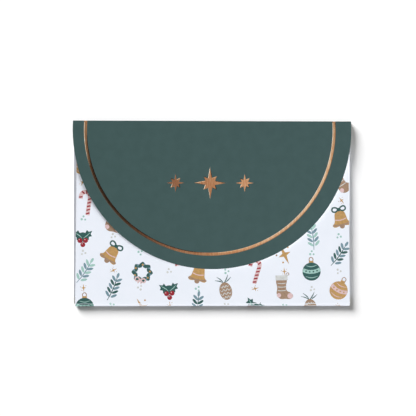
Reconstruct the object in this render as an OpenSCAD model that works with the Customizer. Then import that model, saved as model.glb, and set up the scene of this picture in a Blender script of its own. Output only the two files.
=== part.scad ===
// Gift card holder: one sheet of printed card folded into a flat pocket, with a
// round flap that folds down over the front. It lies on its back: +X is to the
// right, +Y runs to the top fold and +Z comes out of the front.

/* [Gift card it holds] */
// Width of the plastic card
gift_card_w = 85.6; // [80:0.1:90]
// Height of the plastic card
gift_card_h = 54; // [50:0.1:58]
// Thickness of the plastic card
gift_card_t = 0.76; // [0.5:0.01:1]
// Free depth left over it in the pocket
card_clear = 0.24; // [0.15:0.01:0.6]

/* [Sheet] */
// Width of the back panel, from side fold to side fold
body_w = 113.4; // [110:0.1:125]
// Height of the closed holder, from bottom fold to top fold
body_h = 76; // [72:0.1:90]
// Thickness of the printed card
board_t = 0.4; // [0.3:0.01:0.5]

/* [Front panel] */
// How far each side of the front panel stands back from the side folds at the bottom
front_inset = 0.3; // [0.1:0.05:2]
// How far each side leans in by the time it reaches the mouth
front_taper = 0.6; // [0.2:0.05:1.5]
// How far the front panel is folded over to the right of the middle
front_shift = 0.3; // [0:0.05:0.3]
// Distance of the pocket's mouth below the top fold
mouth_drop = 9; // [7:0.1:12]
// Half width of the thumb notch in the mouth
notch_r = 10; // [7:0.1:14]
// Depth of the thumb notch
notch_depth = 7; // [4:0.1:9]

/* [Side tabs and glue] */
// Width of each glued tab, from the side fold to its inner edge
tab_w = 11; // [8:0.1:14]
// Distance of a tab's lower end above the bottom fold
tab_low = 4; // [3:0.1:8]
// How much shorter a tab is at its inner edge, at each end
tab_slant = 3; // [1:0.1:6]
// Distance of a tab's upper end below the mouth
tab_high = 1; // [0.5:0.1:4]
// Thickness of the film of glue
glue_t = 0.1; // [0.05:0.01:0.2]
// Width of each strip of glue
glue_w = 5; // [3:0.1:6.5]
// Distance of a strip of glue from the ends of its tab
glue_end = 4.5; // [3.5:0.1:10]

/* [Flap] */
// How far the flap's round edge stands out past the side folds at its widest
flap_over = 0.45; // [0.1:0.05:3]
// Distance of that round edge's centre below the top fold
flap_drop = 3.6; // [2:0.1:6]
// Air between the front panel and the closed flap
flap_gap = 0.3; // [0.2:0.01:0.6]
// Running gap around each crease of the top fold
crease_clear = 0.03; // [0.02:0.01:0.05]

/* [Foil stamping] */
// Distance of the middle of the foil line from the flap's edge
foil_inset = 6.15; // [4:0.05:9]
// Width of the foil line
foil_w = 1.25; // [0.8:0.05:2]
// Thickness of the foil
foil_t = 0.04; // [0.02:0.01:0.06]
// Depth to which the foil is pressed into the card
press_d = 0.1; // [0.07:0.01:0.14]
// Bare margin of the pressed seat around the foil
press_margin = 0.04; // [0.02:0.01:0.08]
// How far the stamping sits to the right of the middle
foil_shift = -0.95; // [-2:0.05:2]
// Length of the foil line's run down over the top fold
foil_bleed = 2; // [1:0.1:2.2]

/* [Stamped stars] */
// Half height of the middle star
star_big = 6.6; // [4:0.1:8]
// Half height of each outer star
star_small = 4.8; // [3:0.1:6]
// Reach of a star's short points, as a share of its long ones
star_short = 0.58; // [0.45:0.01:0.8]
// Distance of the valleys between them from the star's centre, as the same share
star_waist = 0.34; // [0.2:0.01:0.4]
// Distance of each outer star from the middle one
star_pitch = 14.2; // [13:0.1:18]
// Distance of the stars' centres below the top fold
star_drop = 25.4; // [18:0.1:34]

/* [Closure dot] */
// Radius of the clear adhesive dot under the flap
dot_r = 4.5; // [3:0.1:8]
// Air left between the dot and the front panel
dot_clear = 0.05; // [0.03:0.01:0.1]
// Distance of the dot's middle from the flap's tip
dot_in = 9; // [8.5:0.1:16]

/* [Carrier card] */
// Distance of the carrier card inside the pocket from each side fold's outer face
carrier_side = 3.7; // [1.6:0.1:8]
// Free travel between the carrier card and the wall of the top fold
carrier_head = 6; // [5.2:0.1:10]
// Thickness of the carrier card
carrier_t = 0.35; // [0.25:0.01:0.5]
// Radius of its corners
carrier_corner = 3; // [1:0.1:6]
// Air under the carrier card
carrier_lift = 0.05; // [0.03:0.01:0.1]
// Width of each slit that holds a corner of the plastic card
slit_w = 0.8; // [0.5:0.05:1.5]
// How far from its corner the plastic card's edges cross a slit
slit_cut = 10; // [7:0.1:14]
// How far a slit runs on past the plastic card's edges
slit_over = 1; // [0.5:0.1:2]
// Distance of the carrier card above the line where the bottom fold starts to curve
carrier_foot = 0.3; // [0.2:0.05:1]

/* [Hidden] */
$fn = 96;

// Heights of the layers above the table, from the back up
pocket_gap = carrier_lift + carrier_t + gift_card_t + card_clear;
tab_z = board_t + pocket_gap;
glue_z = tab_z + board_t;
front_z = glue_z + glue_t;
front_top = front_z + board_t;
flap_z = front_top + flap_gap;
flap_top = flap_z + board_t;

// Outer radii of the side folds and of the bottom fold
side_r = glue_z / 2;
bottom_r = front_top / 2;

// Lines across the sheet
top_y = body_h / 2;
bottom_y = -body_h / 2;
flat_low = bottom_y + bottom_r;
mouth_y = top_y - mouth_drop;
tab_low_y = bottom_y + tab_low;
tab_high_y = mouth_y - tab_high;
side_x = body_w / 2;
flat_x = side_x - side_r;
tab_x = side_x - tab_w;
front_w = body_w - 2 * front_inset;

// The two creases of the top fold run along X
bead_r = board_t / 2;
crease_y = top_y - bead_r;
low_crease_z = bead_r;
high_crease_z = flap_top - bead_r;

// The round edge of the flap and the foil line share a centre
arc_y = top_y - flap_drop;
flap_r = side_x + flap_over;
foil_r = flap_r - foil_inset;
spine_w = 2 * sqrt(pow(flap_r, 2) - pow(crease_y - arc_y, 2));

// Edges of the carrier card
carrier_w = body_w - 2 * carrier_side;
carrier_low = flat_low + carrier_foot;
carrier_h = crease_y - bead_r - carrier_head - carrier_low;

// Floor of the seats that the foil is pressed into, whose sharp tips reach this
// many margins past the foil's own
seat_floor = flap_top - press_d;
tip_margins = 4;

// How far a cut runs on past the faces that it opens
past = 1;

// Colours of the finishes
print_white = [0.93, 0.945, 0.97];
board_white = [0.95, 0.94, 0.91];
print_green = [0.27, 0.36, 0.35];
foil_copper = [0.78, 0.52, 0.36];
clear_glue = [0.85, 0.85, 0.8];

// A flat layer of the stack, from its plan outline
module layer(low, thick) {
    translate([0, 0, low]) linear_extrude(thick) children();
}

// A profile drawn in Y and Z, run along X about the middle
module along_x(length) {
    translate([-length / 2, 0, 0]) rotate([90, 0, 90]) linear_extrude(length) children();
}

// Half a ring that joins two layers of the sheet at a fold, opening towards -X
module fold_ring(outer_r) {
    difference() {
        translate([0, outer_r]) circle(outer_r);
        translate([0, outer_r]) circle(outer_r - board_t);
        translate([-2 * outer_r, -past]) square([2 * outer_r, 2 * (outer_r + past)]);
    }
}

// What a crease needs cut from the sheet that meets it: room for the rounded bead
// and a mitre, so that the sheets can meet at a right angle. side is 1 where the
// inside of the fold is above the crease and -1 where it is below.
module crease_cut(crease_z, side) {
    reach = board_t + past;
    translate([crease_y, crease_z]) {
        circle(bead_r + crease_clear);
        polygon([[-crease_clear, 0], [-reach, side * (reach - crease_clear)],
            [past, side * (reach - crease_clear)], [past, -side * past], [0, -side * past]]);
    }
}

module back_panel() {
    color(print_white) difference() {
        layer(0, board_t) union() {
            translate([-flat_x, flat_low]) square([2 * flat_x, crease_y - flat_low]);
            translate([-side_x, flat_low]) square([body_w, tab_low_y - flat_low]);
            translate([-side_x, tab_high_y]) square([body_w, crease_y - tab_high_y]);
        }
        along_x(body_w + past) crease_cut(low_crease_z, 1);
    }
}

module bottom_fold() {
    color(print_white)
        translate([front_shift, flat_low, 0])
            along_x(front_w) mirror([1, 0]) fold_ring(bottom_r);
}

module front_panel() {
    half_low = front_w / 2;
    half_high = half_low - front_taper;
    color(print_white) translate([front_shift, 0, 0]) layer(front_z, board_t) difference() {
        polygon([[-half_low, flat_low], [half_low, flat_low],
            [half_high, mouth_y], [-half_high, mouth_y]]);
        translate([0, mouth_y + notch_r - notch_depth]) circle(notch_r);
    }
}

// The sheet turned up at the right-hand side of the back panel
module side_fold() {
    color(print_white)
        translate([flat_x, tab_high_y, 0]) rotate([90, 0, 0])
            linear_extrude(tab_high_y - tab_low_y) fold_ring(side_r);
}

// The right-hand tab, which lies on the pocket's air and is glued to the front panel
module side_tab() {
    color(print_white) layer(tab_z, board_t)
        polygon([[flat_x, tab_low_y], [flat_x, tab_high_y],
            [tab_x, tab_high_y - tab_slant], [tab_x, tab_low_y + tab_slant]]);
}

module glue_strip() {
    middle_x = (flat_x + tab_x) / 2;
    color(clear_glue) layer(glue_z, glue_t)
        translate([middle_x - glue_w / 2, tab_low_y + glue_end])
            square([glue_w, tab_high_y - tab_low_y - 2 * glue_end]);
}

// The card inside, with four slits across the corners of the plastic card
module carrier_card() {
    inset = carrier_corner;
    middle_y = carrier_low + carrier_h / 2;
    slit_mid = (slit_over - slit_cut) / 2;
    slit_l = sqrt(2) * (slit_cut + slit_over);
    color(board_white) layer(board_t + carrier_lift, carrier_t)
        translate([0, middle_y]) difference() {
            union() {
                square([carrier_w - 2 * inset, carrier_h], center = true);
                square([carrier_w, carrier_h - 2 * inset], center = true);
                for (sx = [-1, 1], sy = [-1, 1])
                    translate([sx * (carrier_w / 2 - inset), sy * (carrier_h / 2 - inset)])
                        circle(inset);
            }
            for (sx = [-1, 1], sy = [-1, 1])
                translate([sx * (gift_card_w / 2 + slit_mid), sy * (gift_card_h / 2 + slit_mid)])
                    rotate(-sx * sy * 45) square([slit_l, slit_w], center = true);
        }
}

// The narrow wall of the top fold, with a rounded bead along each crease
module top_spine() {
    rise = high_crease_z - low_crease_z;
    color(print_green) difference() {
        along_x(spine_w) union() {
            difference() {
                translate([crease_y - bead_r, low_crease_z]) square([board_t, rise]);
                translate([crease_y, low_crease_z])
                    polygon([[0, 0], [-board_t, 0], [-board_t, board_t]]);
                translate([crease_y, high_crease_z])
                    polygon([[0, 0], [-board_t, 0], [-board_t, -board_t]]);
            }
            for (z = [low_crease_z, high_crease_z]) translate([crease_y, z]) circle(bead_r);
        }
        spine_strokes(foil_w / 2 + press_margin, press_d, press_margin);
    }
}

// Where the foil line crosses the top fold, as two strokes pressed into the spine
module spine_strokes(half_w, depth, grow) {
    reach = sqrt(pow(foil_r, 2) - pow(crease_y - arc_y, 2));
    for (side = [-1, 1])
        translate([foil_shift + side * reach - half_w, top_y - depth,
                high_crease_z - foil_bleed - grow])
            cube([2 * half_w, depth + past, foil_bleed + 2 * grow]);
}

module spine_foil() {
    color(foil_copper) intersection() {
        spine_strokes(foil_w / 2, press_d, 0);
        translate([-spine_w / 2, top_y - press_d, 0]) cube([spine_w, foil_t, flap_top]);
    }
}

// A ring about the flap's centre, as wide as the foil line and a margin
module line_ring(margin, low, thick) {
    translate([foil_shift, arc_y, low]) difference() {
        cylinder(h = thick, r = foil_r + foil_w / 2 + margin);
        translate([0, 0, -past]) cylinder(h = thick + 2 * past, r = foil_r - foil_w / 2 - margin);
    }
}

// The outline of a star whose long points and short points alternate
function star(long_r, short_r, waist_r, points) = [
    for (i = [0 : 4 * points - 1])
        let (r = i % 2 == 1 ? waist_r : (i % 4 == 0 ? long_r : short_r))
            r * [sin(i * 90 / points), cos(i * 90 / points)]];

// The stamped star at a place of the row, -1, 0 or 1, with a margin round it
module stamped_star(place, margin) {
    reach = place == 0 ? star_big : star_small;
    tip = tip_margins * margin;
    translate([foil_shift + place * star_pitch, top_y - star_drop])
        polygon(star(reach + tip, reach * star_short + tip, reach * star_waist + margin, 4));
}

module flap() {
    color(print_green) difference() {
        intersection() {
            translate([0, arc_y, flap_z]) cylinder(h = board_t, r = flap_r);
            translate([-flap_r - past, arc_y - flap_r - past, flap_z])
                cube([2 * (flap_r + past), crease_y - arc_y + flap_r + past, board_t]);
        }
        along_x(2 * (flap_r + past)) crease_cut(high_crease_z, -1);
        line_ring(press_margin, seat_floor, press_d + past);
        for (place = [-1, 0, 1]) layer(seat_floor, press_d + past) stamped_star(place, press_margin);
    }
}

module foil_line() {
    color(foil_copper) intersection() {
        line_ring(0, seat_floor, foil_t);
        translate([-flap_r, arc_y - flap_r, seat_floor])
            cube([2 * flap_r, crease_y - bead_r - arc_y + flap_r, foil_t]);
    }
}

module foil_star(place) {
    color(foil_copper) layer(seat_floor, foil_t) stamped_star(place, 0);
}

module closure_dot() {
    dot_t = flap_gap - dot_clear;
    color(clear_glue) translate([0, arc_y - flap_r + dot_in, flap_z - dot_t])
        cylinder(h = dot_t, r = dot_r);
}

back_panel();
bottom_fold();
front_panel();
mirror([1, 0, 0]) side_fold();  // left_side_fold
side_fold();  // right_side_fold
mirror([1, 0, 0]) side_tab();  // left_side_tab
side_tab();  // right_side_tab
mirror([1, 0, 0]) glue_strip();  // left_glue_strip
glue_strip();  // right_glue_strip
carrier_card();
top_spine();
spine_foil();
flap();
foil_line();
foil_star(-1);  // foil_star_left
foil_star(0);  // foil_star_centre
foil_star(1);  // foil_star_right
closure_dot();
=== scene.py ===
"""Gift card holder: a folded pocket of printed card with a round, foil-stamped flap.

The pieces are modelled in millimetres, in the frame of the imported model, and each is brought
to metres when it is done. The holder lies on its back: +X is to the right, +Y runs to the top
fold and +Z comes out through the flap.
"""

from __future__ import annotations

import logging
import math
import random
from collections.abc import Callable, Iterator, Sequence
from contextlib import contextmanager
from dataclasses import dataclass, field
from enum import Enum

import bmesh
import bpy
from mathutils import Matrix, Vector


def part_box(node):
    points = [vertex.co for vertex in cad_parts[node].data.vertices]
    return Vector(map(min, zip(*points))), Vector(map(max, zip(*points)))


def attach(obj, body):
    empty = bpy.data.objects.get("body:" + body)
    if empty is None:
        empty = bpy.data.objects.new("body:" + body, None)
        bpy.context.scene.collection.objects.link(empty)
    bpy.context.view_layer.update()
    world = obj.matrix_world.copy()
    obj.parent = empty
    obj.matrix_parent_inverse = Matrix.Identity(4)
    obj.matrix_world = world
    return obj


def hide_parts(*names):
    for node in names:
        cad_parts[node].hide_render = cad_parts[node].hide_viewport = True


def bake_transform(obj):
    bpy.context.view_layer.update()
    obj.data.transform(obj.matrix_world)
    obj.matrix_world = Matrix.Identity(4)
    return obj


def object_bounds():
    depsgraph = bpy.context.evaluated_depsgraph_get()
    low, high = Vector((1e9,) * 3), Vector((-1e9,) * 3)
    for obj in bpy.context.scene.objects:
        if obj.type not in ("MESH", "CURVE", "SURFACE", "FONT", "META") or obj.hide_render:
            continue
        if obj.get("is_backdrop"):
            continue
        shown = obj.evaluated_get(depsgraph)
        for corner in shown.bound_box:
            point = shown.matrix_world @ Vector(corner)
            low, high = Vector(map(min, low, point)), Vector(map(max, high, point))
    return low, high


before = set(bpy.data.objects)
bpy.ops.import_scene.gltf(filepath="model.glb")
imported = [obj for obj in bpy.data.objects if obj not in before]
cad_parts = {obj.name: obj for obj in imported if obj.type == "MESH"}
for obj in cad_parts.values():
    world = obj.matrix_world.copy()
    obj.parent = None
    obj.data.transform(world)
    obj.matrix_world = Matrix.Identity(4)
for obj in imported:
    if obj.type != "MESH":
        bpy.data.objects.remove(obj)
CAD_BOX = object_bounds()

LOG = logging.getLogger("gift_card_holder")

# One millimetre in metres, and how near two places in millimetres are the same place.
MM = 0.001
NEAR = 1e-3

# A face looks up or down when the Z of its normal is beyond this, and sideways when it isn't.
UPRIGHT = 0.5

# Inputs of a Mix node, by number because their names repeat: the share, two numbers, two colours.
SHARE = 0
LOW_NUMBER = 2
HIGH_NUMBER = 3
LOW_COLOUR = 6
HIGH_COLOUR = 7
MIXED_COLOUR = 2

# Two numbers, which are a place or the two ends of a range.
Point = tuple[float, float]
Tree = bpy.types.NodeTree
Sockets = dict[str | int, object]
Test = Callable[[Vector], bool]


class Domain(Enum):
    """Kinds of mesh element that edit mode selects."""

    POINTS = "VERT"
    EDGES = "EDGE"
    FACES = "FACE"


class Side(Enum):
    """The material slots of a piece of board, by the side of the sheet that they dress."""

    PRINT = 0
    INSIDE = 1
    CUT = 2
    FOIL = 3


class Ink(Enum):
    """The inks of the winter print, and their colours on the white board."""

    FOREST = "#2f5b56"
    MINT = "#a5cdc4"
    SLATE = "#7796a2"
    GOLD = "#c2985c"
    TAUPE = "#a5876e"
    BLUSH = "#e2c3c3"
    BERRY = "#9b1c2c"
    PEARL = "#d5d7d5"


def only(piece: bpy.types.Object) -> None:
    """Select one object and nothing else, and make it the active one.

    Args:
        piece: The object.
    """
    bpy.ops.object.select_all(action="DESELECT")
    piece.select_set(True)
    bpy.context.view_layer.objects.active = piece


@contextmanager
def editing(piece: bpy.types.Object) -> Iterator[None]:
    """Hold a piece in edit mode, where points are selected until something else is picked.

    Args:
        piece: The mesh object to edit.

    Returns:
        A context that goes back to object mode when it ends.
    """
    only(piece)
    bpy.ops.object.mode_set(mode="EDIT")
    bpy.ops.mesh.select_mode(type=Domain.POINTS.value)
    yield
    bpy.ops.object.mode_set(mode="OBJECT")


def pick_all() -> None:
    """Select the whole mesh that is being edited."""
    bpy.ops.mesh.select_all(action="SELECT")


def pick(domain: Domain, test: Test) -> None:
    """Select what passes a test in the mesh that is being edited, and nothing else.

    Args:
        domain: Points and edges pass when all their corners do, faces when their middle does.
        test: Tells from a place in millimetres whether it passes.
    """
    bpy.ops.mesh.select_mode(type=domain.value)
    bpy.ops.mesh.select_all(action="DESELECT")
    mesh = bmesh.from_edit_mesh(bpy.context.edit_object.data)
    if domain is Domain.FACES:
        for face in mesh.faces:
            face.select_set(test(face.calc_center_median()))
    elif domain is Domain.EDGES:
        for edge in mesh.edges:
            edge.select_set(all(test(corner.co) for corner in edge.verts))
    else:
        for corner in mesh.verts:
            corner.select_set(test(corner.co))
    bmesh.update_edit_mesh(bpy.context.edit_object.data)


def pick_facing(test: Test) -> None:
    """Select faces by the way they look in the mesh that is being edited, and nothing else.

    Args:
        test: Tells from a face's normal whether it passes.
    """
    bpy.ops.mesh.select_mode(type=Domain.FACES.value)
    bpy.ops.mesh.select_all(action="DESELECT")
    mesh = bmesh.from_edit_mesh(bpy.context.edit_object.data)
    for face in mesh.faces:
        face.select_set(test(face.normal))
    bmesh.update_edit_mesh(bpy.context.edit_object.data)


def slice_at(
    place: Sequence[float], normal: Sequence[float], clear: bool = False, fill: bool = False
) -> None:
    """Cut the whole mesh that is being edited along a plane.

    Args:
        place: A point of the plane.
        normal: The plane's normal.
        clear: Take away what lies on the side that the normal points to.
        fill: Close the cut with a face.
    """
    pick_all()
    bpy.ops.mesh.bisect(
        plane_co=place,
        plane_no=Vector(normal).normalized(),
        use_fill=fill,
        clear_outer=clear,
        threshold=1e-5,
    )


def slide(x: float = 0, y: float = 0, z: float = 0) -> None:
    """Extrude what is selected and move the new part by a distance."""
    bpy.ops.mesh.extrude_region_move(TRANSFORM_OT_translate={"value": (x, y, z)})


def grow(scale: Sequence[float], centre: Sequence[float]) -> None:
    """Scale what is selected about a centre."""
    bpy.ops.transform.resize(value=scale, center_override=centre)


def paint(side: Side) -> None:
    """Give the selected faces the material slot of a side of the sheet."""
    bpy.context.edit_object.active_material_index = side.value
    bpy.ops.object.material_slot_assign()


def face_up() -> None:
    """Turn every face that looks down, in the mesh that is being edited, to look up."""
    pick_facing(lambda normal: normal.z < 0)
    bpy.ops.mesh.flip_normals()


def dress(piece: bpy.types.Object, *materials: bpy.types.Material) -> None:
    """Give a piece its material slots, in the order of the sides of the sheet."""
    for material in materials:
        piece.data.materials.append(material)


def freeze(piece: bpy.types.Object, name: str) -> bpy.types.Object:
    """Name a piece, and take its place, turn and scale into its mesh.

    Args:
        piece: The piece.
        name: What to call it.

    Returns:
        The same piece, with its object at the origin, unturned and unscaled.
    """
    only(piece)
    bpy.ops.object.transform_apply(location=True, rotation=True, scale=True)
    piece.name = name
    return piece


def flat_plane(name: str, low: Point, high: Point, height: float) -> bpy.types.Object:
    """Lay a level plane.

    Args:
        name: What to call it.
        low: Its lowest X and Y.
        high: Its highest X and Y.
        height: Its Z.

    Returns:
        The plane's object.
    """
    middle = ((low[0] + high[0]) / 2, (low[1] + high[1]) / 2, height)
    bpy.ops.mesh.primitive_plane_add(size=1, location=middle)
    plane = bpy.context.object
    plane.scale = (high[0] - low[0], high[1] - low[1], 1)
    return freeze(plane, name)


def join(pieces: Sequence[bpy.types.Object], name: str) -> bpy.types.Object:
    """Join meshes into one piece.

    Args:
        pieces: The meshes to join.
        name: What to call the result.

    Returns:
        The joined object.
    """
    only(pieces[0])
    for piece in pieces:
        piece.select_set(True)
    bpy.ops.object.join()
    return freeze(pieces[0], name)


def modify(piece: bpy.types.Object, kind: str, **settings: object) -> None:
    """Put a modifier on a piece and apply it.

    Args:
        piece: The piece.
        kind: The modifier's type, as Blender names it.
        **settings: Its settings by name.
    """
    only(piece)
    modifier = piece.modifiers.new(kind.lower(), kind)
    for setting, value in settings.items():
        setattr(modifier, setting, value)
    bpy.ops.object.modifier_apply(modifier=modifier.name)


def carve(piece: bpy.types.Object, cutter: bpy.types.Object) -> None:
    """Cut a closed shape out of a piece and throw the shape away."""
    modify(piece, "BOOLEAN", operation="DIFFERENCE", solver="EXACT", object=cutter)
    bpy.data.objects.remove(cutter)


def finish_piece(piece: bpy.types.Object, body: str, smooth: float = 30) -> None:
    """Bring a piece from millimetres to metres, shade it and let it ride on its body.

    Args:
        piece: The piece, in millimetres at the origin.
        body: The body it moves with, or nothing where it bends at a crease.
        smooth: Edges turned by less than this many degrees are shaded smooth.
    """
    piece.scale = (MM, MM, MM)
    freeze(piece, piece.name)
    bpy.ops.object.shade_smooth_by_angle(angle=math.radians(smooth))
    if body:
        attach(piece, body)
    LOG.info("%s: %d faces, on %s", piece.name, len(piece.data.polygons), body or "a crease")


def linear(colour: str) -> tuple[float, float, float, float]:
    """Turn an sRGB hex colour to linear light.

    Args:
        colour: The colour as #rrggbb.

    Returns:
        Red, green, blue and a full alpha.
    """
    parts = [int(colour[i : i + 2], 16) / 255 for i in (1, 3, 5)]
    red, green, blue = (c / 12.92 if c <= 0.04045 else ((c + 0.055) / 1.055) ** 2.4 for c in parts)
    return red, green, blue, 1.0


def per_mm(size: float) -> float:
    """Scale of a noise whose features are about this many millimetres, on coordinates in metres."""
    return 1 / (size * MM)


def add_node(tree: Tree, kind: str, inputs: Sockets | None = None, **settings: object) -> bpy.types.Node:
    """Add a node with its settings and links.

    Args:
        tree: The tree that it goes in.
        kind: The node's type, without the Shader prefix.
        inputs: What each input takes, by name or number: a value, or a socket to link.
        **settings: The node's properties by name.

    Returns:
        The node.
    """
    node = tree.nodes.new("ShaderNode" + kind)
    for setting, value in settings.items():
        setattr(node, setting, value)
    for key, value in (inputs or {}).items():
        if isinstance(value, bpy.types.NodeSocket):
            tree.links.new(value, node.inputs[key])
        else:
            node.inputs[key].default_value = value
    return node


def new_material(name: str) -> tuple[bpy.types.Material, Tree]:
    """Make an empty node material.

    Args:
        name: The material's name.

    Returns:
        The material and its tree.
    """
    material = bpy.data.materials.new(name)
    material.use_nodes = True
    material.node_tree.nodes.clear()
    return material, material.node_tree


@dataclass(frozen=True)
class Finish:
    """A finish of the holder, whose pattern lies still on the pieces."""

    name: str
    tone: str

    def surface(self, tree: Tree, place: bpy.types.NodeSocket) -> Sockets:
        """Draw the pattern.

        Args:
            tree: The material's tree.
            place: Object coordinates.

        Returns:
            What the inputs of the Principled shader take.
        """
        raise NotImplementedError

    def material(self) -> bpy.types.Material:
        """Build the material.

        Returns:
            The material, with the pattern on a Principled shader.
        """
        material, tree = new_material(self.name)
        place = add_node(tree, "TexCoord").outputs["Object"]
        shader = add_node(tree, "BsdfPrincipled", self.surface(tree, place))
        add_node(tree, "OutputMaterial", {"Surface": shader.outputs[0]})
        return material


@dataclass(frozen=True)
class PaperFinish(Finish):
    """A side of the board: 300 g/m2 folding card, bare or under matt ink.

    Paper is matt with a trace of sheen. Its clouding and fibres give the eye a faint mottle,
    which is drawn a little coarser than real so that it shows. The sizes are in millimetres.
    """

    light_tone: str
    roughness: float = 0.62
    uneven: float = 0.06
    shine: float = 0.25
    cloud: float = 6.0
    fibre: float = 0.55
    fibre_share: float = 0.35
    cloud_span: Point = (0.35, 0.65)
    fibre_span: Point = (0.3, 0.7)
    relief: float = 0.004
    bump: float = 0.4

    def surface(self, tree: Tree, place: bpy.types.NodeSocket) -> Sockets:
        """Draw clouding and fibres between the two tones, and raise the fibres.

        Args:
            tree: The material's tree.
            place: Object coordinates.

        Returns:
            What the inputs of the Principled shader take.
        """
        cloud = add_node(tree, "TexNoise", {"Vector": place, "Scale": per_mm(self.cloud), "Detail": 3.0})
        fibre = add_node(
            tree,
            "TexNoise",
            {
                "Vector": place,
                "Scale": per_mm(self.fibre),
                "Detail": 4.0,
                "Roughness": 0.65,
                "Distortion": 0.6,
            },
        )
        low, high = self.cloud_span
        span = {"Value": cloud.outputs[0], "From Min": low, "From Max": high}
        clouds = add_node(tree, "MapRange", span).outputs[0]
        low, high = self.fibre_span
        span = {"Value": fibre.outputs[0], "From Min": low, "From Max": high}
        fibres = add_node(tree, "MapRange", span).outputs[0]
        both = {SHARE: self.fibre_share, LOW_NUMBER: clouds, HIGH_NUMBER: fibres}
        share = add_node(tree, "Mix", both).outputs[0]
        tones = {SHARE: share, LOW_COLOUR: linear(self.tone), HIGH_COLOUR: linear(self.light_tone)}
        low, high = self.roughness - self.uneven, self.roughness + self.uneven
        rough = {"Value": fibres, "To Min": low, "To Max": high}
        height = {"Height": fibre.outputs[0], "Strength": self.bump, "Distance": self.relief * MM}
        return {
            "Base Color": add_node(tree, "Mix", tones, data_type="RGBA").outputs[MIXED_COLOUR],
            "Roughness": add_node(tree, "MapRange", rough).outputs[0],
            "Specular IOR Level": self.shine,
            "Normal": add_node(tree, "Bump", height).outputs[0],
        }


@dataclass(frozen=True)
class FoilFinish(Finish):
    """Hot-stamped copper foil: a vapour-coated metal film, ironed on to the card.

    It mirrors the room, broken by fine slanting streaks where the die slid and by the grain
    of the card that shows through, both drawn coarser than real so that they show. The sizes
    are in millimetres.
    """

    deep_tone: str
    rough_span: Point = (0.05, 0.15)
    streak: float = 0.35
    streak_turn: float = 38.0
    streak_stretch: float = 7.0
    streak_span: Point = (0.4, 0.62)
    grain: float = 0.3
    relief: float = 0.006
    bump: float = 0.2

    def surface(self, tree: Tree, place: bpy.types.NodeSocket) -> Sockets:
        """Draw the streaks between the two tones, and raise the grain.

        Args:
            tree: The material's tree.
            place: Object coordinates.

        Returns:
            What the inputs of the Principled shader take.
        """
        turn, stretch = (0, 0, math.radians(self.streak_turn)), (self.streak_stretch, 1, 1)
        along = add_node(tree, "Mapping", {"Vector": place, "Rotation": turn, "Scale": stretch}).outputs[0]
        size = self.streak * self.streak_stretch
        streak = add_node(tree, "TexNoise", {"Vector": along, "Scale": per_mm(size), "Detail": 2.0})
        grain = add_node(tree, "TexNoise", {"Vector": place, "Scale": per_mm(self.grain), "Detail": 3.0})
        low, high = self.streak_span
        span = {"Value": streak.outputs[0], "From Min": low, "From Max": high}
        share = add_node(tree, "MapRange", span).outputs[0]
        tones = {SHARE: share, LOW_COLOUR: linear(self.deep_tone), HIGH_COLOUR: linear(self.tone)}
        low, high = self.rough_span
        rough = {"Value": grain.outputs[0], "To Min": low, "To Max": high}
        height = {"Height": grain.outputs[0], "Strength": self.bump, "Distance": self.relief * MM}
        return {
            "Base Color": add_node(tree, "Mix", tones, data_type="RGBA").outputs[MIXED_COLOUR],
            "Metallic": 1.0,
            "Roughness": add_node(tree, "MapRange", rough).outputs[0],
            "Normal": add_node(tree, "Bump", height).outputs[0],
        }


@dataclass(frozen=True)
class InkFinish(Finish):
    """Offset ink on coated white card: matt, thin and a little uneven, as a brush-drawn flat is."""

    depth: float = 0.82
    patch: float = 0.9
    patch_span: Point = (0.35, 0.6)
    roughness: float = 0.6
    shine: float = 0.25

    def surface(self, tree: Tree, place: bpy.types.NodeSocket) -> Sockets:
        """Draw patches of a deeper tone, of about patch millimetres.

        Args:
            tree: The material's tree.
            place: Object coordinates.

        Returns:
            What the inputs of the Principled shader take.
        """
        noise = {"Vector": place, "Scale": per_mm(self.patch), "Detail": 4.0, "Roughness": 0.6}
        patch = add_node(tree, "TexNoise", noise).outputs[0]
        low, high = self.patch_span
        share = add_node(tree, "MapRange", {"Value": patch, "From Min": low, "From Max": high}).outputs[0]
        full = linear(self.tone)
        deep = (*(part * self.depth for part in full[:3]), 1.0)
        tones = {SHARE: share, LOW_COLOUR: deep, HIGH_COLOUR: full}
        return {
            "Base Color": add_node(tree, "Mix", tones, data_type="RGBA").outputs[MIXED_COLOUR],
            "Roughness": self.roughness,
            "Specular IOR Level": self.shine,
        }


@dataclass(frozen=True)
class GlueFinish(Finish):
    """Clear removable adhesive: a soft, glossy film that the card shows through, a little clouded."""

    cover: float = 0.22
    cloud: float = 2.5
    rough_span: Point = (0.08, 0.3)

    def surface(self, tree: Tree, place: bpy.types.NodeSocket) -> Sockets:
        """Draw duller clouds, of about cloud millimetres, on the gloss.

        Args:
            tree: The material's tree.
            place: Object coordinates.

        Returns:
            What the inputs of the Principled shader take.
        """
        cloud = add_node(tree, "TexNoise", {"Vector": place, "Scale": per_mm(self.cloud), "Detail": 2.0})
        low, high = self.rough_span
        rough = add_node(tree, "MapRange", {"Value": cloud.outputs[0], "To Min": low, "To Max": high})
        return {"Base Color": linear(self.tone), "Roughness": rough.outputs[0], "Alpha": self.cover}


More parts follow.
